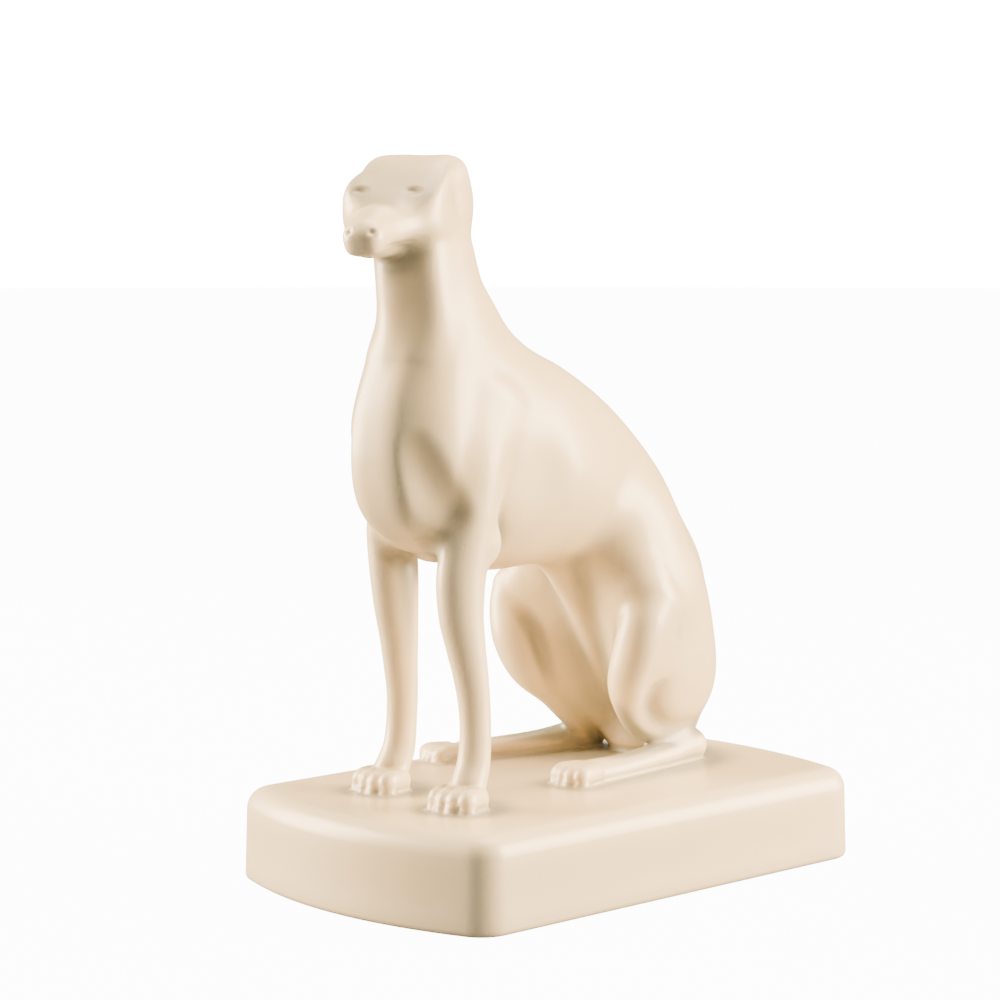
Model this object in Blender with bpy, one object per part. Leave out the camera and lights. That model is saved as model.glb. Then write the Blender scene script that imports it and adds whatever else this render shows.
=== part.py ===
"""Greyhound statue in glazed ceramic: a seated greyhound on a low plinth with bowed ends.

Figure and plinth are fired as one piece, so they are one solid. Metres, +Z up. The origin is at
the middle of the plinth's underside, the plinth is long in Y, and the greyhound faces -Y with
its left side towards +X.

The greyhound is modelled as soft forms laid over each other, as a modeller builds up clay. Its
places and sizes are shares of the figure's height, in hundredths, measured from the middle of
the plinth's top: x to the figure's left, y to its back, z up.
"""
import math

import bmesh
import bpy
import numpy as np

# Plinth
PLINTH_LENGTH = 0.150       # along the straight sides, corner rounds included
PLINTH_WIDTH = 0.102
PLINTH_HEIGHT = 0.026
FRONT_BOW = 0.0077          # how far the end under the forepaws bows out
BACK_BOW = 0.0067           # how far the other end bows out
CORNER_RADIUS = 0.0099      # upright corners
TOP_EDGE_RADIUS = 0.0058
FOOT_EDGE_RADIUS = 0.0018
SIDE_DRAFT = 0.0008         # how far the sides lean in between foot and top

# Figure
FIGURE_HEIGHT = 0.174       # from the plinth's top to the top of the skull
FIGURE_TURN = math.radians(6.0)
FIGURE_SHIFT = -0.0048      # sideways, from the plinth's middle line
HEAD_TURN = 26.0            # degrees, towards the figure's left
EYE_MIDDLE = (-0.3, -35.5, 94.8)
FORE_STEP = 3.4             # how far the right forepaw stands back from the left one
HOCK_STEP = 3.2             # how far the right hock stands back from the left one
KNEE_SPLAY = 1.4            # how far the right knee stands out and forward of the left one

# Facets
BOW_FACETS = 9
CORNER_FACETS = 5
TOP_EDGE_FACETS = 4
FOOT_EDGE_FACETS = 2
CLAY_CELL = 0.85            # hundredths of the figure's height
FIGURE_TRIANGLES = 8600

# Glaze
GLAZE_COLOUR = (0.78, 0.67, 0.53, 1.0)
GLAZE_ROUGHNESS = 0.22

FAR = 40.0                  # distance given to points that no form is near
LEFTWARD = (-1, 0, 0)       # keeps the last two numbers of a row facing front or below, then back
REACH = 7.0                 # how far outside its own box a form still counts
STATIONS = 8                # between two rows of a loft, where the nearest place is looked for


def soft_join(first, second, blend):
    """Joins two distance fields, rounded where they meet over the width blend."""
    mix = np.clip(0.5 + 0.5 * (second - first) / blend, 0.0, 1.0)
    return second + (first - second) * mix - blend * mix * (1.0 - mix)


def curve_at(rows, place):
    """The smooth curve through all rows at each place (0 is the first row), its slope and bend."""
    first = np.clip(np.floor(place).astype(int), 0, len(rows) - 2)
    u = (place - first)[:, None]
    spare = np.vstack([2 * rows[0] - rows[1], rows, 2 * rows[-1] - rows[-2]])
    before, start, end, after = (spare[first + k] for k in range(4))
    slope = end - before
    bend = 2 * before - 5 * start + 4 * end - after
    twist = 3 * start - before - 3 * end + after
    value = 0.5 * (2 * start + slope * u + bend * u ** 2 + twist * u ** 3)
    return value, 0.5 * (slope + 2 * bend * u + 3 * twist * u ** 2), bend + 3 * twist * u


def turned(yaw=0.0, tip=0.0):
    """Side, back and up directions after a turn to the figure's left and a tip of the back up."""
    yaw, tip = math.radians(yaw), math.radians(tip)
    about_z = np.array([[math.cos(yaw), -math.sin(yaw), 0],
                        [math.sin(yaw), math.cos(yaw), 0],
                        [0, 0, 1]])
    about_x = np.array([[1, 0, 0],
                        [0, math.cos(tip), -math.sin(tip)],
                        [0, math.sin(tip), math.cos(tip)]])
    return (about_z @ about_x).T


class Loft:
    """A form drawn along a smooth middle line.

    Each row is x, y, z, half width along side, half depth to the front or below, and half depth
    to the back or above. A squareness over 2 makes the sections boxier than ellipses.
    """

    def __init__(self, rows, side=(1, 0, 0), squareness=2.0):
        self.rows = np.array(rows, float)
        self.side = np.array(side, float)
        self.squareness = squareness
        self.places = np.linspace(0, len(rows) - 1, (len(rows) - 1) * STATIONS + 1)
        stations = curve_at(self.rows, self.places)[0]
        self.line = stations[:, :3]
        widest = stations[:, 3:].max(axis=1)[:, None]
        self.low = (self.line - widest).min(axis=0)
        self.high = (self.line + widest).max(axis=0)

    def distance(self, points):
        apart = (self.line ** 2).sum(axis=1)[None] - 2 * points @ self.line.T
        nearest = self.places[apart.argmin(axis=1)]
        lowest = np.maximum(nearest - 1 / STATIONS, 0)
        highest = np.minimum(nearest + 1 / STATIONS, len(self.rows) - 1)
        place = nearest
        for _ in range(5):
            station, slope, bend = curve_at(self.rows, place)
            offset = points - station[:, :3]
            along = slope[:, :3]
            fall = (offset * along).sum(axis=1)
            speed = (along ** 2).sum(axis=1)
            steepness = np.maximum(speed - (offset * bend[:, :3]).sum(axis=1), 0.5 * speed)
            place = np.clip(place + fall / np.maximum(steepness, 1e-9), lowest, highest)
        station, slope, _ = curve_at(self.rows, place)
        offset = points - station[:, :3]
        along = slope[:, :3] / np.linalg.norm(slope[:, :3], axis=1)[:, None]
        side = self.side - along * (along @ self.side)[:, None]
        side /= np.linalg.norm(side, axis=1)[:, None]
        depth = np.cross(along, side)
        beyond = (offset * along).sum(axis=1)
        across = (offset * side).sum(axis=1)
        deep = (offset * depth).sum(axis=1)
        width = station[:, 3]
        half_depth = np.where(deep > 0, station[:, 5], station[:, 4])
        least = station[:, 3:].min(axis=1)
        power = self.squareness
        section = np.abs(across / width) ** power + np.abs(deep / half_depth) ** power
        ratio = np.sqrt(section ** (2 / power) + (beyond / least) ** 2)
        grade = np.sqrt((across / width ** 2) ** 2 + (deep / half_depth ** 2) ** 2
                        + (beyond / least ** 2) ** 2)
        return np.maximum(ratio * (ratio - 1) / np.maximum(grade, 1e-6), -least)


class Mound:
    """An ellipsoid, boxier where its squareness is over 2."""

    def __init__(self, centre, radii, directions=None, squareness=2.0):
        self.centre = np.array(centre, float)
        self.radii = np.array(radii, float)
        self.directions = turned() if directions is None else directions
        self.squareness = squareness
        reach = np.sqrt(((self.directions * self.radii[:, None]) ** 2).sum(axis=0))
        if squareness > 2:
            reach = reach * 1.25
        self.low = self.centre - reach
        self.high = self.centre + reach

    def distance(self, points):
        offset = (points - self.centre) @ self.directions.T
        power = self.squareness
        ratio = (np.abs(offset / self.radii) ** power).sum(axis=1) ** (1 / power)
        grade = np.sqrt(((offset / self.radii ** 2) ** 2).sum(axis=1))
        return np.maximum(ratio * (ratio - 1) / np.maximum(grade, 1e-6), -self.radii.min())


class Clay:
    """Forms added or carved out one after the other, each with its own softness."""

    def __init__(self):
        self.forms = []

    def add(self, form, softness):
        self.forms.append((form, softness, 1))

    def carve(self, form, softness):
        self.forms.append((form, softness, -1))

    def distance(self, points):
        total = np.full(len(points), FAR)
        for form, softness, sign in self.forms:
            near = np.all((points > form.low - REACH) & (points < form.high + REACH), axis=1)
            if near.any():
                joined = soft_join(sign * total[near], form.distance(points[near]), softness)
                total[near] = sign * joined
        return total

    def bounds(self):
        low = np.min([form.low for form, _, sign in self.forms if sign > 0], axis=0)
        high = np.max([form.high for form, _, sign in self.forms if sign > 0], axis=0)
        return low - 2, high + 2


def on_head(side, back, up):
    """A place given from the middle between the eyes, along the turned head's directions."""
    directions = turned(HEAD_TURN)
    return np.array(EYE_MIDDLE) + side * directions[0] + back * directions[1] + up * directions[2]


def model_body(clay):
    """Trunk from the chest along the back to the rump, the belly's keel, boxed forechest, neck."""
    clay.add(Loft([
        (0, -27.0, 54.0, 8.4, 13.0, 14.0),
        (0, -19.0, 54.0, 11.0, 17.6, 17.0),
        (0, -9.0, 52.0, 12.4, 17.8, 18.0),
        (0, 1.0, 48.5, 11.8, 14.8, 17.0),
        (0, 10.0, 44.0, 10.6, 11.4, 15.6),
        (0, 18.0, 38.5, 9.8, 9.6, 13.9),
        (0, 24.5, 31.0, 9.4, 8.8, 11.7),
        (0, 28.0, 23.0, 9.2, 8.4, 9.8),
        (0, 29.0, 15.0, 8.4, 7.5, 8.0),
    ], side=LEFTWARD), 1.0)
    clay.add(Loft([
        (0, 3.0, 36.0, 3.0, 2.4, 7.0),
        (0, 10.5, 28.0, 2.7, 3.0, 8.0),
        (0, 16.0, 20.0, 2.2, 3.2, 8.0),
        (0, 20.0, 12.5, 1.8, 2.6, 6.0),
        (0, 24.0, 7.0, 1.5, 1.5, 4.0),
    ], side=LEFTWARD), 2.6)
    clay.add(Loft([
        (0, -25.5, 67.0, 6.6, 10.4, 9.0),
        (0, -26.6, 60.0, 7.6, 12.6, 9.0),
        (0, -27.0, 53.5, 7.8, 12.9, 9.0),
        (0, -27.0, 49.0, 7.4, 11.8, 9.0),
        (0, -25.6, 45.2, 6.0, 8.8, 8.0),
        (0, -23.4, 41.8, 4.2, 5.8, 6.0),
    ], side=LEFTWARD, squareness=3.4), 2.2)
    clay.add(Loft([
        (0, -20.5, 62.0, 9.0, 16.0, 15.0),
        (0, -23.6, 70.5, 7.8, 12.0, 12.6),
        (-0.3, -26.0, 78.0, 7.0, 9.3, 10.2),
        (-0.6, -27.2, 85.0, 6.4, 8.6, 9.2),
        (-2.6, -27.4, 91.0, 6.5, 7.2, 9.0),
    ]), 5.0)
    for side in (1, -1):
        clay.carve(Mound((side * 16.0, -14.5, 50.0), (5.0, 7.0, 8.5)), 3.0)


def model_head(clay):
    """Flat skull, ears laid back flush, brows, cheeks, a long muzzle tipped down, eyes and nose."""
    directions = turned(HEAD_TURN)
    clay.add(Mound(on_head(1.7, 7.2, -1.0), (7.0, 9.4, 6.2), directions, 3.6), 1.5)
    clay.add(Mound(on_head(-0.8, 6.2, -2.0), (6.1, 9.0, 6.9), directions, 2.3), 1.5)
    for side in (1, -1):
        clay.add(Loft([
            (*on_head(1.2 + side * 5.4, 10.5, 1.6), 2.8, 4.0, 4.0),
            (*on_head(1.2 + side * 6.1, 12.4, -2.8), 2.3, 5.0, 4.0),
            (*on_head(1.2 + side * 5.4, 13.8, -7.6), 1.5, 3.2, 2.8),
        ], side=directions[0]), 2.2)
        clay.add(Mound(on_head(side * 4.6, 1.4, 0.6), (2.2, 3.0, 2.2), directions), 1.6)
        clay.add(Mound(on_head(side * 4.4, 4.2, -4.8), (3.2, 5.0, 3.8), directions), 2.4)
    clay.add(Loft([
        (*on_head(0, 3.0, -2.6), 6.0, 6.2, 4.6),
        (*on_head(0, -3.0, -3.6), 4.9, 4.7, 3.7),
        (*on_head(0, -8.0, -5.2), 3.9, 3.6, 3.0),
        (*on_head(0, -11.6, -6.2), 3.2, 2.6, 2.5),
        (*on_head(0, -13.0, -6.6), 2.9, 2.4, 2.2),
    ], side=directions[0], squareness=2.8), 1.6)
    clay.add(Loft([
        (*on_head(0, 2.0, -8.6), 4.4, 2.4, 2.4),
        (*on_head(0, -5.0, -8.4), 3.0, 1.6, 2.0),
        (*on_head(0, -10.8, -8.4), 2.0, 1.1, 1.6),
    ], side=directions[0]), 0.8)
    for side in (1, -1):
        clay.carve(Mound(on_head(side * 1.8, -15.2, -5.9), (0.6, 0.9, 0.55), directions), 0.4)
        clay.carve(Mound(on_head(side * 6.0, -1.4, -0.2), (1.0, 1.0, 0.6), directions), 1.0)


def model_paw(clay, place, yaw, half_width, length, height):
    """Four toes side by side on the plinth, turned by yaw degrees."""
    directions = turned(yaw)
    toes = 4
    width = half_width * 0.36

    def at(across, back, up):
        return np.array(place) + across * directions[0] + back * directions[1] + (0, 0, up)

    for toe in range(toes):
        spread = 2 * toe / (toes - 1) - 1
        side = spread * half_width * 0.68
        reach = length * (0.5 - 0.10 * spread ** 2)
        clay.add(Loft([
            (*at(side * 0.75, length * 0.30, height * 0.42), width, height * 0.50, height * 0.52),
            (*at(side, -reach * 0.45, height * 0.46), width, height * 0.45, height * 0.46),
            (*at(side * 1.08, 0.9 - reach, height * 0.22), width * 0.85, height * 0.36, height * 0.30),
        ], side=directions[0]), 0.4)


def model_foreleg(clay, side):
    """Shoulder, elbow, forearm, wrist and paw. side is 1 on the figure's left, -1 on its right."""
    back = 0.0 if side > 0 else FORE_STEP
    clay.add(Loft([
        (side * 7.2, -20.0, 62.0, 3.6, 7.0, 7.0),
        (side * 8.8, -24.0, 55.0, 3.2, 5.6, 5.5),
        (side * 8.8, -25.6, 48.0, 3.2, 4.6, 4.8),
        (side * 8.2, -26.6, 42.0, 3.4, 4.4, 4.6),
        (side * 7.7, -27.8 + back * 0.4, 36.0, 3.4, 4.2, 4.2),
        (side * 7.8, -28.0 + back * 0.65, 30.0, 3.2, 3.6, 3.6),
        (side * 8.2, -27.4 + back * 0.77, 25.0, 2.85, 3.1, 3.1),
        (side * 8.6, -26.7 + back * 0.8, 20.5, 2.55, 2.75, 2.75),
        (side * 9.0, -26.3 + back * 0.92, 15.8, 2.35, 2.5, 2.5),
        (side * 9.3, -26.4 + back, 11.0, 2.3, 2.4, 2.4),
        (side * 9.4, -27.0 + back, 6.5, 2.5, 2.6, 2.6),
        (side * 9.6, -28.8 + back, 2.8, 2.9, 2.9, 2.9),
    ], side=LEFTWARD, squareness=2.4), 2.0)
    clay.add(Mound((side * 9.0, -23.6 + back * 0.3, 40.6), (2.2, 2.6, 3.2)), 1.6)
    clay.carve(Loft([
        (side * 8.8, -39.0, 56.0, 1.8, 1.8, 1.8),
        (side * 9.8, -36.0, 50.5, 2.4, 2.6, 2.6),
        (side * 10.2, -33.0, 45.5, 2.2, 2.6, 2.6),
    ], side=LEFTWARD), 3.0)
    model_paw(clay, (side * 9.7, -30.6 + back, 0.0), side * 2.0, 4.2, 7.2, 4.0)


def model_hind_leg(clay, side):
    """Haunch, thigh, buttock, and the shin folded under it down to the hock."""
    splay, back = (0.0, 0.0) if side > 0 else (KNEE_SPLAY, HOCK_STEP)
    clay.add(Loft([
        (side * 5.0, 25.0, 31.5, 7.0, 9.0, 7.4),
        (side * 8.6, 18.5, 31.2, 7.2, 9.0, 9.2),
        (side * (11.6 + splay * 0.6), 12.4, 30.6, 5.0, 7.0, 7.6),
    ]), 5.0)
    clay.add(Mound((side * 6.0, 26.2, 17.2), (6.6, 10.0, 13.8), turned(0, 10)), 2.5)
    clay.add(Mound((side * 9.6, 20.2, 20.4), (6.5, 10.2, 13.2), turned(0, 12), 2.3), 3.5)
    clay.add(Loft([
        (side * (14.2 + splay), 13.0 - splay, 28.4, 3.0, 4.0, 5.0),
        (side * (13.2 + splay * 0.6), 9.9, 24.8, 3.0, 3.8, 6.0),
        (side * 12.1, 9.0, 20.0, 3.0, 3.6, 7.0),
        (side * 10.6, 9.3 + back * 0.5, 15.0, 2.7, 3.0, 7.5),
        (side * 9.4, 12.0 + back, 10.4, 2.4, 2.5, 6.5),
        (side * 9.0, 16.0 + back, 6.8, 2.4, 2.4, 5.0),
        (side * 9.9, 24.0, 3.4, 2.5, 2.5, 3.4),
    ], side=LEFTWARD), 1.6)


def model_hind_feet(clay):
    """The left foot lies straight forward, the right one is splayed out."""
    clay.add(Loft([
        (10.4, 27.0, 2.4, 2.8, 2.8, 2.8),
        (10.8, 18.0, 1.7, 2.6, 2.4, 2.3),
        (10.8, 8.0, 1.4, 2.7, 2.2, 2.0),
        (10.6, 1.0, 1.3, 2.9, 2.2, 2.2),
    ]), 1.2)
    model_paw(clay, (10.3, -2.6, 0.0), -6.0, 3.7, 7.0, 3.6)
    clay.add(Loft([
        (-10.4, 26.0, 2.4, 2.8, 2.8, 2.8),
        (-13.4, 17.0, 1.4, 2.6, 2.4, 2.2),
        (-16.6, 9.0, 1.1, 2.7, 2.2, 1.9),
        (-18.8, 2.5, 1.0, 2.8, 2.2, 1.8),
    ]), 1.2)
    model_paw(clay, (-20.2, -1.4, -0.2), -20.0, 3.5, 6.8, 3.1)


def greyhound_clay():
    clay = Clay()
    model_body(clay)
    for side in (1, -1):
        model_foreleg(clay, side)
    model_head(clay)
    for side in (1, -1):
        model_hind_leg(clay, side)
    model_hind_feet(clay)
    return clay


def cells_near_surface(clay, low, high, cell, halvings):
    """Whole-number corners of the fine cells that may hold some of the surface."""
    size = cell * 2 ** halvings
    counts = np.ceil((high - low) / size).astype(int)
    cells = np.stack(np.meshgrid(*[np.arange(n) for n in counts], indexing="ij"), axis=-1)
    cells = cells.reshape(-1, 3)
    octants = np.array([[i, j, k] for i in (0, 1) for j in (0, 1) for k in (0, 1)])
    for halving in range(halvings + 1):
        depth = np.abs(clay.distance(low + (cells + 0.5) * size))
        cells = cells[depth < 1.6 * size]
        if halving < halvings:
            cells = (cells[:, None] * 2 + octants[None]).reshape(-1, 3)
            size /= 2
    return cells


def surface(clay, cell, halvings=2):
    """Vertices and four-sided faces of the clay's surface, one vertex in each cell it crosses."""
    low, high = clay.bounds()
    cells = cells_near_surface(clay, low, high, cell, halvings) + 4
    low = low - 4 * cell
    span = int((high - low).max() / cell) + 16

    def number(places):
        return places[:, 0] + span * (places[:, 1] + span * places[:, 2])

    cells = cells[np.argsort(number(cells))]
    corners = np.array([[i, j, k] for i in (0, 1) for j in (0, 1) for k in (0, 1)])
    numbers, which = np.unique(number((cells[:, None] + corners[None]).reshape(-1, 3)),
                               return_inverse=True)
    grid = np.stack([numbers % span, (numbers // span) % span, numbers // span ** 2], axis=1)
    which = which.reshape(-1, 8)
    depth = opened(clay.distance(low + grid * cell), which, cell)[which]
    inside = depth < 0
    crossed = inside.any(axis=1) & ~inside.all(axis=1)
    cells, depth, inside = cells[crossed], depth[crossed], inside[crossed]

    total = np.zeros((len(cells), 3))
    count = np.zeros(len(cells))
    for a in range(8):
        for b in range(a + 1, 8):
            if np.abs(corners[a] - corners[b]).sum() != 1:
                continue
            cut = inside[:, a] != inside[:, b]
            share = depth[cut, a] / (depth[cut, a] - depth[cut, b])
            total[cut] += corners[a] + share[:, None] * (corners[b] - corners[a])
            count[cut] += 1
    vertices = low + (cells + total / count[:, None]) * cell

    keys = number(cells)
    faces = []
    for axis in range(3):
        second, third = [k for k in range(3) if k != axis]
        cut = inside[:, 0] != inside[:, 4 >> axis]
        around = []
        for back_second, back_third in ((0, 0), (1, 0), (1, 1), (0, 1)):
            neighbour = cells[cut].copy()
            neighbour[:, second] -= back_second
            neighbour[:, third] -= back_third
            around.append(np.searchsorted(keys, number(neighbour)))
        quads = np.stack(around, axis=1)
        outward = inside[cut, 0] != (axis == 1)
        quads[~outward] = quads[~outward][:, ::-1]
        faces.append(quads)
    return pulled_to_surface(clay, vertices, cell), np.vstack(faces)


def opened(depth, which, cell):
    """Takes corners out of the clay until no two parts of it meet at only an edge or a point."""
    squares = [(0, 1, 3, 2), (4, 5, 7, 6), (0, 1, 5, 4), (2, 3, 7, 6), (0, 2, 6, 4), (1, 3, 7, 5)]
    diagonals = [(0, 7), (1, 6), (2, 5), (3, 4)]
    while True:
        inside = depth[which] < 0
        pinched = []
        for square in squares:
            a, b, c, d = (inside[:, corner] for corner in square)
            for pair, others in (((square[0], square[2]), (b, d)), ((square[1], square[3]), (a, c))):
                first, second = inside[:, pair[0]], inside[:, pair[1]]
                found = first & second & ~others[0] & ~others[1]
                pinched.append(which[found][:, pair])
        for pair in diagonals:
            others = [corner for corner in range(8) if corner not in pair]
            only = inside[:, pair].all(axis=1) & ~inside[:, others].any(axis=1)
            hollow = inside[:, others].all(axis=1) & ~inside[:, pair].any(axis=1)
            pinched.append(which[only][:, pair])
            pinched.append(which[hollow][:, others[:2]])
        pinched = np.vstack(pinched)
        if len(pinched) == 0:
            return depth
        shallower = np.argmax(depth[pinched], axis=1)
        depth[pinched[np.arange(len(pinched)), shallower]] = cell * 0.01


def pulled_to_surface(clay, vertices, cell):
    """Moves each vertex straight onto the surface, by half a cell at a time at most."""
    nudge = cell * 0.25
    depth = clay.distance(vertices)
    slope = np.stack([clay.distance(vertices + step) - depth for step in np.eye(3) * nudge],
                     axis=1) / nudge
    steepness = np.maximum((slope ** 2).sum(axis=1), 0.05)
    for turn in range(2):
        if turn:
            depth = clay.distance(vertices)
        move = -(depth / steepness)[:, None] * slope
        far = np.linalg.norm(move, axis=1)
        vertices = vertices + move * np.minimum(1.0, 0.5 * cell / np.maximum(far, 1e-9))[:, None]
    return vertices


def plinth_outline(inset):
    """The plinth seen from above, counter-clockwise: bowed ends, straight sides, round corners."""
    half_width = PLINTH_WIDTH / 2 - CORNER_RADIUS
    half_length = PLINTH_LENGTH / 2 - CORNER_RADIUS
    radius = CORNER_RADIUS - inset
    points = []
    for end, bow in ((1, FRONT_BOW), (-1, BACK_BOW)):
        lean = math.atan(2 * bow / half_width)
        sweep = math.pi / 2 - lean
        half = []
        for i in range(CORNER_FACETS):
            angle = math.pi + sweep * i / CORNER_FACETS
            half.append((-half_width + radius * math.cos(angle),
                         -half_length + radius * math.sin(angle)))
        for i in range(BOW_FACETS + 1):
            across = 2 * i / BOW_FACETS - 1
            slope = 2 * bow * across / half_width
            tilt = math.hypot(slope, 1)
            half.append((half_width * across + radius * slope / tilt,
                         -half_length - bow * (1 - across ** 2) - radius / tilt))
        for i in range(1, CORNER_FACETS + 1):
            angle = lean - math.pi / 2 + sweep * i / CORNER_FACETS
            half.append((half_width + radius * math.cos(angle),
                         -half_length + radius * math.sin(angle)))
        points += [(end * x, end * y) for x, y in half]
    return points


def glaze():
    material = bpy.data.materials.new("glazed_ceramic")
    material.use_nodes = True
    shader = material.node_tree.nodes["Principled BSDF"]
    shader.inputs["Base Color"].default_value = GLAZE_COLOUR
    shader.inputs["Roughness"].default_value = GLAZE_ROUGHNESS
    shader.inputs["Metallic"].default_value = 0.0
    return material


def plinth_mesh():
    """The outline raised, drawn in a little towards the top, and rounded at foot and top."""
    shape = bmesh.new()
    foot = shape.faces.new([shape.verts.new((x, y, 0)) for x, y in plinth_outline(0)])
    top = [part for part in bmesh.ops.extrude_face_region(shape, geom=[foot])["geom"]
           if isinstance(part, bmesh.types.BMVert)]
    for vertex, (x, y) in zip(top, plinth_outline(SIDE_DRAFT)):
        vertex.co = (x, y, PLINTH_HEIGHT)
    bmesh.ops.recalc_face_normals(shape, faces=shape.faces[:])
    for upper, radius, facets in ((True, TOP_EDGE_RADIUS, TOP_EDGE_FACETS),
                                  (False, FOOT_EDGE_RADIUS, FOOT_EDGE_FACETS)):
        rim = [edge for edge in shape.edges
               if all((vertex.co.z > PLINTH_HEIGHT / 2) == upper for vertex in edge.verts)]
        bmesh.ops.bevel(shape, geom=rim, offset=radius, segments=facets, profile=0.5,
                        affect="EDGES", clamp_overlap=False)
    mesh = bpy.data.meshes.new("greyhound_statue")
    shape.to_mesh(mesh)
    shape.free()
    return mesh


def figure_object(material):
    """The greyhound alone, set on the plinth's top with its soles let into it."""
    vertices, faces = surface(greyhound_clay(), CLAY_CELL)
    mesh = bpy.data.meshes.new("greyhound_form")
    mesh.from_pydata((vertices * FIGURE_HEIGHT / 100).tolist(), [], faces.tolist())
    mesh.materials.append(material)
    figure = bpy.data.objects.new("greyhound_form", mesh)
    bpy.context.collection.objects.link(figure)
    figure.location = (FIGURE_SHIFT, 0, PLINTH_HEIGHT)
    figure.rotation_euler = (0, 0, FIGURE_TURN)
    facets = figure.modifiers.new("facets", "DECIMATE")
    facets.ratio = min(1.0, FIGURE_TRIANGLES / (2 * len(faces)))
    figure.hide_render = True
    figure.display_type = "WIRE"
    return figure


def main():
    for item in list(bpy.data.objects):
        bpy.data.objects.remove(item, do_unlink=True)
    material = glaze()
    mesh = plinth_mesh()
    mesh.materials.append(material)
    statue = bpy.data.objects.new("greyhound_statue", mesh)
    bpy.context.collection.objects.link(statue)
    joined = statue.modifiers.new("figure", "BOOLEAN")
    joined.operation = "UNION"
    joined.solver = "EXACT"
    joined.object = figure_object(material)


main()
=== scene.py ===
"""Greyhound statue in glazed ceramic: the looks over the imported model.

Laid out as an add-on: the sizes and colours are properties, each piece and the stage is made by
an operator, and a panel lists them. Metres, +Z up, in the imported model's own frame: the origin
is at the middle of the plinth's underside, and the greyhound faces -Y.

The greyhound is modelled as soft forms laid over each other, as a modeller builds up clay. Its
places and sizes are shares of the figure's height, in hundredths, measured from the middle of
the plinth's top: x to the figure's left, y to its back, z up.
"""
import math
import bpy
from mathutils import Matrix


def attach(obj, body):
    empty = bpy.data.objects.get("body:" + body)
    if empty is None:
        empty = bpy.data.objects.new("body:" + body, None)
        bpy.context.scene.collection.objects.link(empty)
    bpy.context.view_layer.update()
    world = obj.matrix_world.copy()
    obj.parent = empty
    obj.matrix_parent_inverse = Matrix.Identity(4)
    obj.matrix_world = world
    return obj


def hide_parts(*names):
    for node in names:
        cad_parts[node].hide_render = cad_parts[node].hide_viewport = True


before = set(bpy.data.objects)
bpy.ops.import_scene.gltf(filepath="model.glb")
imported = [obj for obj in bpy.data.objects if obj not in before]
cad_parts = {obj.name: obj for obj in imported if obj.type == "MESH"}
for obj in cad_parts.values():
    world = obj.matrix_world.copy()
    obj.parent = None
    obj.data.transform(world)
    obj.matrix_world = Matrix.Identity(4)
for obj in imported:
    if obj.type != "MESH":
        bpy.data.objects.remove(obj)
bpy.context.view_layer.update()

from concurrent.futures import ThreadPoolExecutor

import bmesh
import bpy
import numpy as np
from mathutils import Vector

bl_info = {
    "name": "Glazed greyhound statue",
    "version": (1, 0, 0),
    "blender": (4, 5, 0),
    "location": "3D View > Sidebar > Greyhound",
    "description": "Models a glazed ceramic greyhound on its plinth and lights it for a photograph",
    "category": "Add Mesh",
}

NODE = "greyhound_statue"
BODY = "root"
STATUE = "glazed_greyhound"

# Figure, the same as in the model it stands for
FIGURE_TURN = math.radians(6.0)
FIGURE_SHIFT = -0.0048
HEAD_TURN = 26.0            # degrees, towards the figure's left
EYE_MIDDLE = (-0.3, -35.5, 94.8)
FORE_STEP = 3.4             # how far the right forepaw stands back from the left one
HOCK_STEP = 3.2             # how far the right hock stands back from the left one
KNEE_SPLAY = 1.4            # how far the right knee stands out and forward of the left one

# Clay
FINE_CELL = 0.48            # hundredths of the figure's height
BED_DEPTH = 3.0             # clay under the paws, hidden in the plinth
BED_SINK = 0.03             # how far its top lies under the plinth's top
BED_MARGIN = 0.008          # between the clay's edge and the plinth's, in metres
BED_SOFTNESS = 1.3          # the glaze's fillet round the paws

# Plinth's net of faces
BOW_FACETS = 36
CORNER_FACETS = 12
TOP_EDGE_FACETS = 8
FOOT_EDGE_FACETS = 4
NET_PITCH = 0.003

# Distance fields
LEFTWARD = (-1, 0, 0)       # keeps the last two numbers of a row facing front or below, then back
FAR = 40.0                  # distance given to points that no form is near
REACH = 6.0                 # how far outside its own box a form still counts
STATIONS = 6                # between two rows of a loft, where the nearest place is looked for
PLACE_STEPS = 5             # how often the nearest place on a loft's line is bettered
BOX_REACH = 1.25            # how far a boxy mound reaches past its radii when turned
CHUNK = 12000               # points that one thread takes at a time
CUBE = np.array([[i, j, k] for i in (0, 1) for j in (0, 1) for k in (0, 1)])

# Glaze
HOLLOW_SPREAD = 24             # how many times a hollow's depth is shared with its neighbours
FULL_POOL_AND_SHADE = 110.0           # hollowness, in 1/m, at which the glaze is at its thickest and the shade painted into hollows darkest
SHARPEST = 600.0            # hollowness, in 1/m, that a single vertex counts for at most
# Painted shade: how far out from the surface other limbs are looked for, to darken the glaze's
# colour where they close it in
PAINTED_SHADE_REACHES = (3.0, 6.0, 9.0)   # how far out from the surface other limbs are looked for
CLOUD_SCALE = 38.0          # of the glaze's slow unevenness
CLOUD_SHARE = 0.22          # how much it changes how thick the glaze lies, and with it the painted shade in hollows
SWELL_SCALE = 90.0          # of the surface's slight swell
GRAIN_SCALE = 420.0         # of its fine grain
PINHOLE_SCALE = 110.0       # of the cells that may hold a pinhole each
PINHOLE_RARITY = (0.955, 0.965)     # share of the cells that hold none
PINHOLE_SPREAD = 0.035      # how much wider the widest pinholes are, as a share of a cell
PINHOLE_EDGE = (0.035, 0.012)       # where a pinhole's rim begins and ends, as a share of a cell

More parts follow.
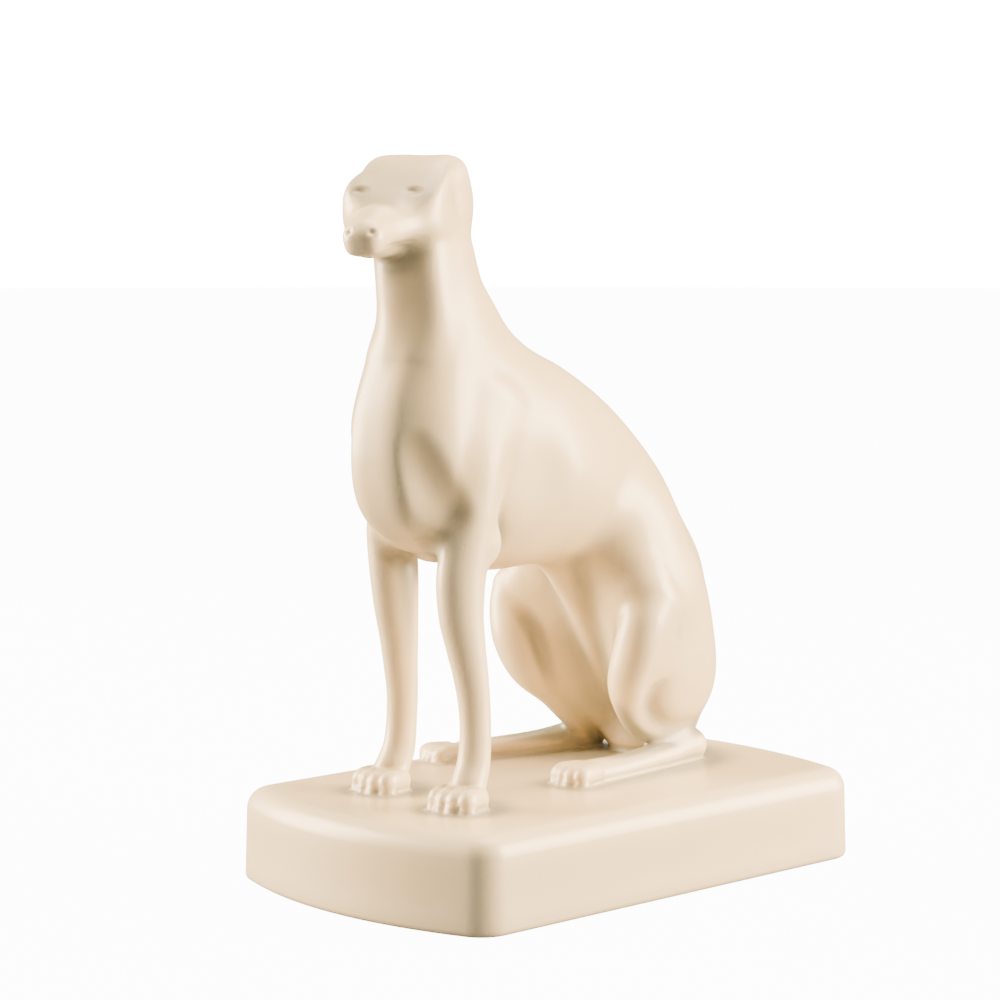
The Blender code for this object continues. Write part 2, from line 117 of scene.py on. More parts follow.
# Stage
FLOOR_LEVEL = -0.0003
FLOOR_CLOUDS = 0.03         # how much the floor's slow unevenness shows at most
FLOOR_CLOUD_COLOUR = (0.84, 0.83, 0.80, 1.0)
SURROUND = 20.0             # brightness of the white surround as seen
FLOOR_GLOW = 13.0           # brightness that the floor is given on top of its light, as seen
ROOM_LIGHT = 0.34           # brightness of the surround as a light
LIGHT_TARGET = (0.0, 0.0, 0.09)
LIGHTS = (                  # name, place, width, height, power
    ("left_softbox", (-0.95, -0.62, 0.38), 0.7, 1.0, 104.0),
    ("right_softbox", (0.80, 0.86, 0.36), 0.7, 1.0, 118.0),
    ("top_softbox", (0.00, 0.25, 1.15), 0.9, 0.9, 38.0),
)


def soft_join(first, second, blend):
    """Joins two distance fields, rounded where they meet over the width blend."""
    mix = np.clip(0.5 + 0.5 * (second - first) / blend, 0.0, 1.0)
    return second + (first - second) * mix - blend * mix * (1.0 - mix)


def curve_at(rows, place):
    """The smooth curve through all rows at each place (0 is the first row), its slope and bend."""
    first = np.clip(np.floor(place).astype(int), 0, len(rows) - 2)
    u = (place - first)[:, None]
    spare = np.vstack([2 * rows[0] - rows[1], rows, 2 * rows[-1] - rows[-2]])
    before, start, end, after = (spare[first + k] for k in range(4))
    slope = end - before
    bend = 2 * before - 5 * start + 4 * end - after
    twist = 3 * start - before - 3 * end + after
    value = 0.5 * (2 * start + slope * u + bend * u ** 2 + twist * u ** 3)
    return value, 0.5 * (slope + 2 * bend * u + 3 * twist * u ** 2), bend + 3 * twist * u


def turned(yaw=0.0, tip=0.0):
    """Side, back and up directions after a turn to the figure's left and a tip of the back up."""
    yaw, tip = math.radians(yaw), math.radians(tip)
    about_z = np.array([[math.cos(yaw), -math.sin(yaw), 0],
                        [math.sin(yaw), math.cos(yaw), 0],
                        [0, 0, 1]])
    about_x = np.array([[1, 0, 0],
                        [0, math.cos(tip), -math.sin(tip)],
                        [0, math.sin(tip), math.cos(tip)]])
    return (about_z @ about_x).T


class Loft:
    """A form drawn along a smooth middle line.

    Each row is x, y, z, half width along side, half depth to the front or below, and half depth
    to the back or above. A squareness over 2 makes the sections boxier than ellipses.
    """

    def __init__(self, rows, side=(1, 0, 0), squareness=2.0):
        self.rows = np.array(rows, float)
        self.side = np.array(side, float)
        self.squareness = squareness
        self.places = np.linspace(0, len(rows) - 1, (len(rows) - 1) * STATIONS + 1)
        stations = curve_at(self.rows, self.places)[0]
        self.line = stations[:, :3]
        widest = stations[:, 3:].max(axis=1)[:, None]
        self.low = (self.line - widest).min(axis=0)
        self.high = (self.line + widest).max(axis=0)

    def distance(self, points):
        apart = (self.line ** 2).sum(axis=1)[None] - 2 * points @ self.line.T
        nearest = self.places[apart.argmin(axis=1)]
        lowest = np.maximum(nearest - 1 / STATIONS, 0)
        highest = np.minimum(nearest + 1 / STATIONS, len(self.rows) - 1)
        place = nearest
        for _ in range(PLACE_STEPS):
            station, slope, bend = curve_at(self.rows, place)
            offset = points - station[:, :3]
            along = slope[:, :3]
            fall = (offset * along).sum(axis=1)
            speed = (along ** 2).sum(axis=1)
            steepness = np.maximum(speed - (offset * bend[:, :3]).sum(axis=1), 0.5 * speed)
            place = np.clip(place + fall / np.maximum(steepness, 1e-9), lowest, highest)
        station, slope, _ = curve_at(self.rows, place)
        offset = points - station[:, :3]
        along = slope[:, :3] / np.linalg.norm(slope[:, :3], axis=1)[:, None]
        side = self.side - along * (along @ self.side)[:, None]
        side /= np.linalg.norm(side, axis=1)[:, None]
        depth = np.cross(along, side)
        beyond = (offset * along).sum(axis=1)
        across = (offset * side).sum(axis=1)
        deep = (offset * depth).sum(axis=1)
        width = station[:, 3]
        half_depth = np.where(deep > 0, station[:, 5], station[:, 4])
        least = station[:, 3:].min(axis=1)
        power = self.squareness
        section = np.abs(across / width) ** power + np.abs(deep / half_depth) ** power
        ratio = np.sqrt(section ** (2 / power) + (beyond / least) ** 2)
        grade = np.sqrt((across / width ** 2) ** 2 + (deep / half_depth ** 2) ** 2
                        + (beyond / least ** 2) ** 2)
        return np.maximum(ratio * (ratio - 1) / np.maximum(grade, 1e-6), -least)


class Mound:
    """An ellipsoid, boxier where its squareness is over 2."""

    def __init__(self, centre, radii, directions=None, squareness=2.0):
        self.centre = np.array(centre, float)
        self.radii = np.array(radii, float)
        self.directions = turned() if directions is None else directions
        self.squareness = squareness
        reach = np.sqrt(((self.directions * self.radii[:, None]) ** 2).sum(axis=0))
        if squareness > 2:
            reach = reach * BOX_REACH
        self.low = self.centre - reach
        self.high = self.centre + reach

    def distance(self, points):
        offset = (points - self.centre) @ self.directions.T
        power = self.squareness
        ratio = (np.abs(offset / self.radii) ** power).sum(axis=1) ** (1 / power)
        grade = np.sqrt(((offset / self.radii ** 2) ** 2).sum(axis=1))
        return np.maximum(ratio * (ratio - 1) / np.maximum(grade, 1e-6), -self.radii.min())


class Bed:
    """A slab of clay for the feet to grow out of, turned with the plinth under the figure."""

    def __init__(self, half_sizes, turn, shift):
        self.half = np.array([*half_sizes, BED_DEPTH / 2])
        self.middle = -BED_SINK - BED_DEPTH / 2
        self.turn = turn
        self.shift = shift
        reach = float(np.hypot(*half_sizes)) + abs(shift)
        self.low = np.array([-reach, -reach, self.middle - BED_DEPTH])
        self.high = np.array([reach, reach, BED_DEPTH])

    def distance(self, points):
        x, y, z = points.T
        cosine, sine = math.cos(self.turn), math.sin(self.turn)
        there = np.stack([x * cosine - y * sine + self.shift, x * sine + y * cosine,
                          z - self.middle], axis=1)
        past = np.abs(there) - self.half
        return (np.linalg.norm(np.maximum(past, 0), axis=1)
                + np.minimum(past.max(axis=1), 0))


class Clay:
    """Forms added or carved out one after the other, each with its own softness."""

    def __init__(self):
        self.forms = []

    def add(self, form, softness):
        self.forms.append((form, softness, 1))

    def carve(self, form, softness):
        self.forms.append((form, softness, -1))

    def distance(self, points):
        chunks = np.array_split(points, len(points) // CHUNK + 1)
        with ThreadPoolExecutor() as crew:
            return np.concatenate(list(crew.map(self.chunk_distance, chunks)))

    def chunk_distance(self, points):
        total = np.full(len(points), FAR)
        for form, softness, sign in self.forms:
            near = np.all((points > form.low - REACH) & (points < form.high + REACH), axis=1)
            if near.any():
                joined = soft_join(sign * total[near], form.distance(points[near]), softness)
                total[near] = sign * joined
        return total

    def bounds(self):
        low = np.min([form.low for form, _, sign in self.forms if sign > 0], axis=0)
        high = np.max([form.high for form, _, sign in self.forms if sign > 0], axis=0)
        return low - 2, high + 2


def on_head(side, back, up):
    """A place given from the middle between the eyes, along the turned head's directions."""
    directions = turned(HEAD_TURN)
    return np.array(EYE_MIDDLE) + side * directions[0] + back * directions[1] + up * directions[2]


def model_body(clay):
    """Trunk from the chest along the back to the rump, the belly's keel, boxed forechest, neck."""
    clay.add(Loft([
        (0, -27.0, 54.0, 8.4, 13.0, 14.0),
        (0, -19.0, 54.0, 11.0, 17.6, 17.0),
        (0, -9.0, 52.0, 12.4, 17.8, 18.0),
        (0, 1.0, 48.5, 11.8, 14.8, 17.0),
        (0, 10.0, 44.0, 10.6, 11.4, 15.6),
        (0, 18.0, 38.5, 9.8, 9.6, 13.9),
        (0, 24.5, 31.0, 9.4, 8.8, 11.7),
        (0, 28.0, 23.0, 9.2, 8.4, 9.8),
        (0, 29.0, 15.0, 8.4, 7.5, 8.0),
    ], side=LEFTWARD), 1.0)
    clay.add(Loft([
        (0, 3.0, 36.0, 3.0, 2.4, 7.0),
        (0, 10.5, 28.0, 2.7, 3.0, 8.0),
        (0, 16.0, 20.0, 2.2, 3.2, 8.0),
        (0, 20.0, 12.5, 1.8, 2.6, 6.0),
        (0, 24.0, 7.0, 1.5, 1.5, 4.0),
    ], side=LEFTWARD), 2.6)
    clay.add(Mound((0, 28.2, 5.4), (9.0, 6.4, 7.4)), 3.5)
    clay.add(Loft([
        (0, -25.5, 67.0, 6.6, 10.4, 9.0),
        (0, -26.6, 60.0, 7.6, 12.6, 9.0),
        (0, -27.0, 53.5, 7.8, 12.9, 9.0),
        (0, -27.0, 49.0, 7.4, 11.8, 9.0),
        (0, -25.6, 45.2, 6.0, 8.8, 8.0),
        (0, -23.4, 41.8, 4.2, 5.8, 6.0),
    ], side=LEFTWARD, squareness=3.4), 2.2)
    for side in (1, -1):
        clay.add(Loft([
            (side * 3.6, -26.5, 72.0, 2.8, 3.6, 5.0),
            (side * 5.2, -29.2, 64.0, 3.7, 4.8, 5.0),
            (side * 6.2, -30.4, 56.0, 4.2, 5.2, 5.0),
            (side * 6.2, -29.2, 48.5, 3.8, 4.7, 5.0),
            (side * 6.2, -27.5, 43.0, 3.3, 3.8, 4.0),
        ], side=LEFTWARD), 3.0)
    clay.add(Loft([
        (0, -20.5, 62.0, 9.0, 16.0, 15.0),
        (0, -23.6, 70.5, 7.8, 12.0, 12.6),
        (-0.3, -26.0, 78.0, 7.0, 9.3, 10.2),
        (-0.6, -27.2, 85.0, 6.4, 8.6, 9.2),
        (-2.6, -27.4, 91.0, 6.5, 7.2, 9.0),
    ]), 5.0)
    clay.add(Loft([
        (-0.2, -27.0, 68.0, 5.2, 8.2, 8.0),
        (0.0, -27.4, 76.0, 5.8, 7.6, 8.0),
        (-0.5, -27.6, 84.0, 5.7, 7.9, 7.6),
        (-1.6, -27.6, 90.0, 5.6, 6.9, 7.0),
    ], side=turned(HEAD_TURN * 0.9)[0], squareness=3.6), 1.6)
    for side in (1, -1):
        clay.carve(Mound((side * 17.0, -14.5, 49.0), (5.0, 8.0, 10.0)), 4.0)


def model_head(clay):
    """Flat skull, ears laid back flush, brows, cheeks, blunt muzzle, jaw and sloped forehead."""
    directions = turned(HEAD_TURN)
    clay.add(Mound(on_head(1.5, 7.2, -1.0), (7.0, 9.4, 6.4), directions, 4.2), 1.5)
    clay.add(Mound(on_head(-0.8, 6.8, -2.0), (6.1, 8.4, 6.9), directions, 2.3), 1.5)
    for side in (1, -1):
        clay.add(Loft([
            (*on_head(1.2 + side * 5.4, 10.5, 1.6), 2.8, 4.0, 4.0),
            (*on_head(1.2 + side * 6.1, 12.4, -2.8), 2.3, 5.0, 4.0),
            (*on_head(1.2 + side * 5.4, 13.8, -7.6), 1.5, 3.2, 2.8),
        ], side=directions[0]), 2.2)
        clay.add(Mound(on_head(side * 4.4, 1.8, 0.6), (2.1, 3.0, 2.2), directions), 2.0)
        clay.add(Mound(on_head(side * 4.4, 4.2, -4.8), (3.2, 5.0, 3.8), directions), 2.4)
        clay.add(Mound(on_head(side * 3.8, 1.9, -1.6), (3.2, 3.8, 4.2), directions), 2.4)
    clay.add(Loft([
        (*on_head(0.4, 4.0, -4.8), 6.6, 4.0, 6.4),
        (*on_head(0.3, -2.0, -5.6), 5.5, 3.2, 5.5),
        (*on_head(0, -7.0, -6.4), 4.3, 2.6, 3.9),
        (*on_head(0, -11.5, -7.0), 3.1, 2.3, 2.8),
    ], side=directions[0], squareness=1.9), 2.6)
    clay.add(Mound(on_head(0, -11.2, -7.4), (2.8, 3.2, 2.2), turned(HEAD_TURN, 14), 3.2), 1.4)
    clay.add(Loft([
        (*on_head(0, 2.0, -8.2), 3.4, 2.2, 2.4),
        (*on_head(0, -4.5, -8.4), 2.6, 1.8, 2.0),
        (*on_head(0, -9.6, -8.6), 2.2, 1.6, 1.6),
    ], side=directions[0]), 0.8)
    clay.carve(Mound(on_head(1.2, 0.4, 5.7), (12.0, 9.0, 4.0), turned(HEAD_TURN, 38), 3.6), 2.4)


def model_paw(clay, place, yaw, half_width, length, height):
    """Four toes side by side on the plinth, turned by yaw degrees."""
    directions = turned(yaw)
    toes = 4
    width = half_width * 0.36

    def at(across, back, up):
        return np.array(place) + across * directions[0] + back * directions[1] + (0, 0, up)

    for toe in range(toes):
        spread = 2 * toe / (toes - 1) - 1
        side = spread * half_width * 0.68
        reach = length * (0.5 - 0.10 * spread ** 2)
        clay.add(Loft([
            (*at(side * 0.75, length * 0.30, height * 0.42), width, height * 0.50, height * 0.52),
            (*at(side, -reach * 0.45, height * 0.46), width, height * 0.45, height * 0.46),
            (*at(side * 1.08, 0.9 - reach, height * 0.22),
             width * 0.85, height * 0.36, height * 0.30),
        ], side=directions[0]), 0.4)


def model_foreleg(clay, side):
    """Shoulder, elbow, forearm, wrist and paw. side is 1 on the figure's left, -1 on its right."""
    back = 0.0 if side > 0 else FORE_STEP
    clay.add(Loft([
        (side * 7.2, -20.0, 62.0, 3.6, 7.0, 7.0),
        (side * 8.8, -24.0, 55.0, 3.2, 5.6, 5.5),
        (side * 8.8, -25.6, 48.0, 3.2, 4.6, 4.8),
        (side * 8.2, -26.6, 42.0, 3.4, 4.4, 4.6),
        (side * 7.7, -27.8 + back * 0.4, 36.0, 3.6, 4.4, 4.4),
        (side * 7.8, -28.0 + back * 0.65, 30.0, 3.4, 3.9, 3.9),
        (side * 8.2, -27.4 + back * 0.77, 25.0, 3.05, 3.35, 3.35),
        (side * 8.6, -26.7 + back * 0.8, 20.5, 2.75, 2.95, 2.95),
        (side * 9.0, -26.3 + back * 0.92, 15.8, 2.5, 2.7, 2.7),
        (side * 9.3, -26.4 + back, 11.0, 2.45, 2.6, 2.6),
        (side * 9.4, -27.0 + back, 6.5, 2.6, 2.75, 2.75),
        (side * 9.6, -28.8 + back, 2.8, 2.9, 2.9, 2.9),
    ], side=LEFTWARD, squareness=1.85), 2.0)
    clay.add(Mound((side * 9.0, -23.6 + back * 0.3, 40.6), (2.2, 2.6, 3.2)), 1.6)
    clay.carve(Loft([
        (side * 8.8, -39.0, 56.0, 1.8, 1.8, 1.8),
        (side * 9.8, -36.0, 50.5, 2.4, 2.6, 2.6),
        (side * 10.2, -33.0, 45.5, 2.2, 2.6, 2.6),
    ], side=LEFTWARD), 3.0)
    model_paw(clay, (side * 9.7, -30.6 + back, 0.0), side * 2.0, 4.2, 7.2, 4.0)


def model_hind_leg(clay, side):
    """Haunch, thigh, buttock, and the shin folded under it down to the hock."""
    splay, back = (0.0, 0.0) if side > 0 else (KNEE_SPLAY, HOCK_STEP)
    clay.add(Loft([
        (side * 5.0, 25.0, 30.5, 6.4, 9.0, 6.8),
        (side * 8.2, 18.5, 30.6, 6.9, 9.0, 7.4),
        (side * (11.2 + splay * 0.6), 12.6, 30.0, 5.0, 7.0, 5.4),
    ]), 6.0)
    clay.add(Mound((side * 7.0, 15.5, 37.5), (6.4, 9.0, 9.5)), 5.0)
    clay.add(Mound((side * 6.0, 25.8, 17.0), (6.3, 9.6, 13.6), turned(0, 10)), 3.0)
    clay.add(Mound((side * 9.4, 20.2, 20.0), (6.3, 9.4, 13.0), turned(0, 12), 2.6), 5.0)
    clay.add(Loft([
        (side * (14.2 + splay), 13.0 - splay, 28.4, 3.0, 4.0, 5.0),
        (side * (13.7 + splay * 0.6), 10.1, 24.8, 3.7, 3.9, 7.0),
        (side * 12.8, 9.1, 20.0, 3.8, 3.7, 8.0),
        (side * 11.2, 9.0 + back * 0.5, 15.0, 3.3, 3.2, 8.5),
        (side * 9.4, 12.0 + back, 10.4, 2.4, 2.5, 6.5),
        (side * 9.0, 16.0 + back, 6.8, 2.4, 2.4, 5.0),
        (side * 9.9, 24.0, 3.4, 2.5, 2.5, 3.4),
    ], side=LEFTWARD), 1.6)


def model_hind_feet(clay):
    """The left foot lies straight forward, the right one is splayed out."""
    clay.add(Loft([
        (10.4, 27.0, 2.4, 2.8, 2.8, 2.8),
        (10.8, 18.0, 1.7, 2.6, 2.4, 2.3),
        (10.8, 8.0, 1.4, 2.7, 2.2, 2.0),
        (10.6, 1.0, 1.3, 2.9, 2.2, 2.2),
    ]), 1.2)
    model_paw(clay, (10.3, -2.6, 0.0), -6.0, 3.7, 7.0, 3.6)
    clay.add(Loft([
        (-10.4, 26.0, 2.4, 2.8, 2.8, 2.8),
        (-13.4, 17.0, 1.4, 2.6, 2.4, 2.2),
        (-16.6, 9.0, 1.1, 2.7, 2.2, 1.9),
        (-18.8, 2.5, 1.0, 2.8, 2.2, 1.8),
    ]), 1.2)
    model_paw(clay, (-20.2, -1.4, -0.2), -20.0, 3.5, 6.8, 3.1)


def greyhound_clay():
    """The whole figure, without the bed that it stands on and the fine relief."""
    clay = Clay()
    model_body(clay)
    for side in (1, -1):
        model_foreleg(clay, side)
    model_head(clay)
    for side in (1, -1):
        model_hind_leg(clay, side)
    model_hind_feet(clay)
    return clay


def touch(clay, start, aim):
    """Where a straight line from start towards aim first meets the clay."""
    place = np.array(start, float)
    way = np.array(aim, float) - place
    way /= np.linalg.norm(way)
    for _ in range(60):
        depth = clay.distance(place[None])[0]
        place = place + 0.6 * max(min(depth, 3.0), 0.0) * way
        if depth < 0.01:
            break
    return place


def score(clay, starts, aims, half_width, softness):
    """Carves a fine line where the lines from starts to aims meet the clay."""
    met = [touch(clay, start, aim) for start, aim in zip(starts, aims)]
    clay.carve(Loft([(*place, half_width, half_width, half_width) for place in met],
                    side=(0.3, 0.2, 0.93)), softness)


def model_fine_relief(clay):
    """Small carving that shows from close by: nostrils, eyes and mouth."""
    directions = turned(HEAD_TURN)
    for side in (1, -1):
        nostril = touch(clay, on_head(side * 1.8, -22.0, -6.1), on_head(side * 1.8, -10.0, -6.3))
        clay.carve(Mound(nostril, (0.5, 0.6, 0.4), directions), 0.4)
        eye = touch(clay, on_head(side * 4.5, -16.0, 0.0), on_head(side * 4.1, 4.0, -0.1))
        clay.carve(Mound(eye, (0.9, 0.6, 0.36), directions), 0.8)
        score(clay,
              [on_head(side * 8.0, -12.0, -8.6), on_head(side * 9.0, -8.0, -8.3),
               on_head(side * 11.0, -4.0, -7.9)],
              [on_head(0, -10.0, -8.4), on_head(0, -6.5, -8.0),
               on_head(0, -2.0, -7.6)], 0.18, 0.3)


def cells_near_surface(clay, low, high, cell, halvings):
    """Whole-number corners of the fine cells that may hold some of the surface."""
    size = cell * 2 ** halvings
    counts = np.ceil((high - low) / size).astype(int)
    cells = np.stack(np.meshgrid(*[np.arange(n) for n in counts], indexing="ij"), axis=-1)
    cells = cells.reshape(-1, 3)
    for halving in range(halvings + 1):
        depth = np.abs(clay.distance(low + (cells + 0.5) * size))
        cells = cells[depth < 1.6 * size]
        if halving < halvings:
            cells = (cells[:, None] * 2 + CUBE[None]).reshape(-1, 3)
            size /= 2
    return cells


def surface(clay, cell, halvings=2):
    """Vertices and four-sided faces of the clay's surface, one vertex in each cell it crosses."""
    low, high = clay.bounds()
    cells = cells_near_surface(clay, low, high, cell, halvings) + 4
    low = low - 4 * cell
    span = int((high - low).max() / cell) + 16

    def number(places):
        return places[:, 0] + span * (places[:, 1] + span * places[:, 2])

    cells = cells[np.argsort(number(cells))]
    numbers, which = np.unique(number((cells[:, None] + CUBE[None]).reshape(-1, 3)),
                               return_inverse=True)
    grid = np.stack([numbers % span, (numbers // span) % span, numbers // span ** 2], axis=1)
    which = which.reshape(-1, 8)
    depth = opened(clay.distance(low + grid * cell), which, cell)[which]
    inside = depth < 0
    crossed = inside.any(axis=1) & ~inside.all(axis=1)
    cells, depth, inside = cells[crossed], depth[crossed], inside[crossed]

    total = np.zeros((len(cells), 3))
    count = np.zeros(len(cells))
    for a in range(8):
        for b in range(a + 1, 8):
            if np.abs(CUBE[a] - CUBE[b]).sum() != 1:
                continue
            cut = inside[:, a] != inside[:, b]
            share = depth[cut, a] / (depth[cut, a] - depth[cut, b])
            total[cut] += CUBE[a] + share[:, None] * (CUBE[b] - CUBE[a])
            count[cut] += 1
    vertices = low + (cells + total / count[:, None]) * cell

    keys = number(cells)
    faces = []
    for axis in range(3):
        second, third = [k for k in range(3) if k != axis]
        cut = inside[:, 0] != inside[:, 4 >> axis]
        around = []
        for back_second, back_third in ((0, 0), (1, 0), (1, 1), (0, 1)):
            neighbour = cells[cut].copy()
            neighbour[:, second] -= back_second
            neighbour[:, third] -= back_third
            around.append(np.searchsorted(keys, number(neighbour)))
        quads = np.stack(around, axis=1)
        outward = inside[cut, 0] != (axis == 1)
        quads[~outward] = quads[~outward][:, ::-1]
        faces.append(quads)
    return pulled_to_surface(clay, vertices, cell), np.vstack(faces)


def opened(depth, which, cell):
    """Takes corners out of the clay until no two parts of it meet at only an edge or a point."""
    squares = [(0, 1, 3, 2), (4, 5, 7, 6), (0, 1, 5, 4), (2, 3, 7, 6), (0, 2, 6, 4), (1, 3, 7, 5)]
    diagonals = [(0, 7), (1, 6), (2, 5), (3, 4)]
    while True:
        inside = depth[which] < 0
        pinched = []
        for square in squares:
            a, b, c, d = (inside[:, corner] for corner in square)
            for pair, others in (((square[0], square[2]), (b, d)),
                                 ((square[1], square[3]), (a, c))):
                first, second = inside[:, pair[0]], inside[:, pair[1]]
                found = first & second & ~others[0] & ~others[1]
                pinched.append(which[found][:, pair])
        for pair in diagonals:
            others = [corner for corner in range(8) if corner not in pair]
            only = inside[:, pair].all(axis=1) & ~inside[:, others].any(axis=1)
            hollow = inside[:, others].all(axis=1) & ~inside[:, pair].any(axis=1)
            pinched.append(which[only][:, pair])
            pinched.append(which[hollow][:, others[:2]])
        pinched = np.vstack(pinched)
        if len(pinched) == 0:
            return depth
        shallower = np.argmax(depth[pinched], axis=1)
        depth[pinched[np.arange(len(pinched)), shallower]] = cell * 0.01


def pulled_to_surface(clay, vertices, cell):
    """Moves each vertex straight onto the surface, by half a cell at a time at most."""
    nudge = cell * 0.25
    depth = clay.distance(vertices)
    slope = np.stack([clay.distance(vertices + step) - depth for step in np.eye(3) * nudge],
                     axis=1) / nudge
    steepness = np.maximum((slope ** 2).sum(axis=1), 0.05)
    for turn in range(2):
        if turn:
            depth = clay.distance(vertices)
        move = -(depth / steepness)[:, None] * slope
        far = np.linalg.norm(move, axis=1)
        vertices = vertices + move * np.minimum(1.0, 0.5 * cell / np.maximum(far, 1e-9))[:, None]
    return vertices


class StatueSizes(bpy.types.PropertyGroup):
    """Sizes of the plinth and the figure."""

    plinth_length: bpy.props.FloatProperty(
        name="Plinth length", description="Along the straight sides, corner rounds included",
        default=0.150, min=0.05, unit="LENGTH")
    plinth_width: bpy.props.FloatProperty(
        name="Plinth width", description="Across the straight sides",
        default=0.102, min=0.05, unit="LENGTH")
    plinth_height: bpy.props.FloatProperty(
        name="Plinth height", description="From the underside to the top",
        default=0.026, min=0.005, unit="LENGTH")
    front_bow: bpy.props.FloatProperty(
        name="Front bow", description="How far the end under the forepaws bows out",
        default=0.0077, min=0.0, unit="LENGTH")
    back_bow: bpy.props.FloatProperty(
        name="Back bow", description="How far the other end bows out",
        default=0.0067, min=0.0, unit="LENGTH")
    corner_radius: bpy.props.FloatProperty(
        name="Corner radius", description="Round of the upright corners",
        default=0.0099, min=0.001, unit="LENGTH")
    top_edge_radius: bpy.props.FloatProperty(
        name="Top edge radius", description="Round of the plinth's top edge",
        default=0.0058, min=0.0005, unit="LENGTH")
    foot_edge_radius: bpy.props.FloatProperty(
        name="Foot edge radius", description="Round of the plinth's foot edge",
        default=0.0018, min=0.0005, unit="LENGTH")
    side_draft: bpy.props.FloatProperty(
        name="Side draft", description="How far the sides lean in between foot and top",
        default=0.0008, min=0.0, unit="LENGTH")
    figure_height: bpy.props.FloatProperty(
        name="Figure height", description="From the plinth's top to the top of the skull",
        default=0.174, min=0.05, unit="LENGTH")


class GlazeLook(bpy.types.PropertyGroup):
    """Colours and finish of the glaze, and the shade painted into its colour."""

    cream: bpy.props.FloatVectorProperty(
        name="Cream", description="The glaze where it lies even",
        default=(0.76, 0.60, 0.34), size=3, min=0.0, max=1.0, subtype="COLOR")
    # Partly glaze that gathers thick in hollows, partly painted shade: this colour is also made
    # darker there, as shade falls in hollows
    pooled_and_shade: bpy.props.FloatVectorProperty(
        name="Pooled", description="The glaze where it gathers thick in hollows",
        default=(0.50, 0.42, 0.26), size=3, min=0.0, max=1.0, subtype="COLOR")
    # Painted shade, not a colour of the glaze: the glaze is darkened deep between the limbs, where
    # shade falls
    painted_shade_colour: bpy.props.FloatVectorProperty(
        name="Sheltered", description="The glaze deep between the limbs, where it stays dull",
        default=(0.34, 0.31, 0.21), size=3, min=0.0, max=1.0, subtype="COLOR")
    thin: bpy.props.FloatVectorProperty(
        name="Thin", description="The glaze where it draws thin over edges",
        default=(0.82, 0.67, 0.42), size=3, min=0.0, max=1.0, subtype="COLOR")
    pinhole: bpy.props.FloatVectorProperty(
        name="Pinhole", description="The bottom of a pinhole in the glaze",
        default=(0.28, 0.20, 0.12), size=3, min=0.0, max=1.0, subtype="COLOR")
    gloss: bpy.props.FloatProperty(
        name="Glaze roughness", description="Roughness of the glaze's own surface",
        default=0.28, min=0.0, max=1.0)


class StageLook(bpy.types.PropertyGroup):
    """Camera, floor and lights."""

    camera_place: bpy.props.FloatVectorProperty(
        name="Camera place", description="Where the camera stands",
        default=(0.5919, -0.5762, 0.1869), size=3, subtype="TRANSLATION", unit="LENGTH")
    camera_target: bpy.props.FloatVectorProperty(
        name="Camera target", description="The point that the camera looks at",
        default=(-0.01202, -0.00848, 0.10428), size=3, subtype="TRANSLATION", unit="LENGTH")
    lens: bpy.props.FloatProperty(
        name="Lens", description="Focal length in millimetres", default=106.477, min=20.0)
    floor_radius: bpy.props.FloatProperty(
        name="Floor radius", description="Radius of the round floor",
        default=6.0, min=1.0, unit="LENGTH")
    floor_colour: bpy.props.FloatVectorProperty(
        name="Floor colour", description="Colour of the plain floor",
        default=(0.10, 0.11, 0.12), size=3, min=0.0, max=1.0, subtype="COLOR")
    light_strength: bpy.props.FloatProperty(
        name="Light strength", description="Multiplies the power of all the soft lights",
        default=1.0, min=0.0)
    light_colour: bpy.props.FloatVectorProperty(
        name="Light colour", description="Colour of the soft lights",
        default=(1.0, 0.76, 0.50), size=3, min=0.0, max=1.0, subtype="COLOR")
    room_colour: bpy.props.FloatVectorProperty(
        name="Room colour", description="Colour of the light that comes from all round",
        default=(0.80, 0.97, 1.0), size=3, min=0.0, max=1.0, subtype="COLOR")


def plinth_outline(sizes, inset):
    """The plinth seen from above, counter-clockwise: bowed ends, straight sides, round corners."""
    half_width = sizes.plinth_width / 2 - sizes.corner_radius
    half_length = sizes.plinth_length / 2 - sizes.corner_radius
    radius = sizes.corner_radius - inset
    points = []
    for end, bow in ((1, sizes.front_bow), (-1, sizes.back_bow)):
        lean = math.atan(2 * bow / half_width)
        sweep = math.pi / 2 - lean
        half = []
        for i in range(CORNER_FACETS):
            angle = math.pi + sweep * i / CORNER_FACETS
            half.append((-half_width + radius * math.cos(angle),
                         -half_length + radius * math.sin(angle)))
        for i in range(BOW_FACETS + 1):
            across = 2 * i / BOW_FACETS - 1
            slope = 2 * bow * across / half_width
            tilt = math.hypot(slope, 1)
            half.append((half_width * across + radius * slope / tilt,
                         -half_length - bow * (1 - across ** 2) - radius / tilt))
        for i in range(1, CORNER_FACETS + 1):
            angle = lean - math.pi / 2 + sweep * i / CORNER_FACETS
            half.append((half_width + radius * math.cos(angle),
                         -half_length + radius * math.sin(angle)))
        points += [(end * x, end * y) for x, y in half]
    return points


def start_afresh():
    """Leaves nothing selected, so that an operator acts only on what is picked next."""
    if bpy.context.object and bpy.context.object.mode != "OBJECT":
        bpy.ops.object.mode_set(mode="OBJECT")
    bpy.ops.object.select_all(action="DESELECT")


def pick(obj):
    start_afresh()
    obj.select_set(True)
    bpy.context.view_layer.objects.active = obj


def select_faces(obj, wanted):
    """In edit mode, selects the faces that wanted(face) is true for."""
    bpy.ops.mesh.select_all(action="DESELECT")
    shape = bmesh.from_edit_mesh(obj.data)
    for face in shape.faces:
        if wanted(face):
            face.select_set(True)
    bmesh.update_edit_mesh(obj.data)


